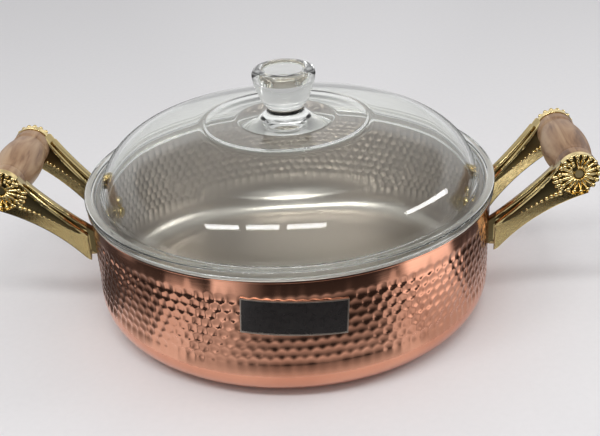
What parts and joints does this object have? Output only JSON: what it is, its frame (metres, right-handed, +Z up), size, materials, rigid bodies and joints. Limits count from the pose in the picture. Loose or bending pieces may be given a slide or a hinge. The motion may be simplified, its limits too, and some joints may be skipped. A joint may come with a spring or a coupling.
{
  "type": "two-handled casserole pan",
  "caption": "Shallow round copper cooking pan with a hammered wall, wooden grips on cast brass arms, and a domed clear glass lid with a hollow knob that lifts off.",
  "frame": {"origin": "centre of the flat base, on the surface the pan stands on", "axes": "+X runs through the two handles, -Y is the front where the label sits, +Z is up"},
  "size_m": [0.3548, 0.244, 0.1451],
  "materials": {
    "copper": "polished copper with a hammered band",
    "lining": "satin bright metal lining, hammered through from the wall",
    "label": "glossy black plate with a thin silver border, left bare",
    "glass": "clear pressed glass",
    "brass": "polished cast brass",
    "wood": "turned and oiled pale wood",
    "steel": "plain bright steel"
  },
  "bodies": {
    "pan": {"front_label": "label", "left_back_arm": "brass", "left_back_foot_screws": "steel", "left_front_arm": "brass", "left_front_foot_screws": "steel", "left_grip": "wood", "left_tie_bolt": "steel", "left_tie_nut": "steel", "pan_body": "copper", "pan_lining": "lining", "right_back_arm": "brass", "right_back_foot_screws": "steel", "right_front_arm": "brass", "right_front_foot_screws": "steel", "right_grip": "wood", "right_tie_bolt": "steel", "right_tie_nut": "steel"},
    "lid": {"glass_lid": "glass"}
  },
  "joints": [
    {"name": "lid_lift", "type": "slide", "parent": "pan", "child": "lid", "axis": [0, 0, 1], "range_m": [0, 0.1]}
  ]
}
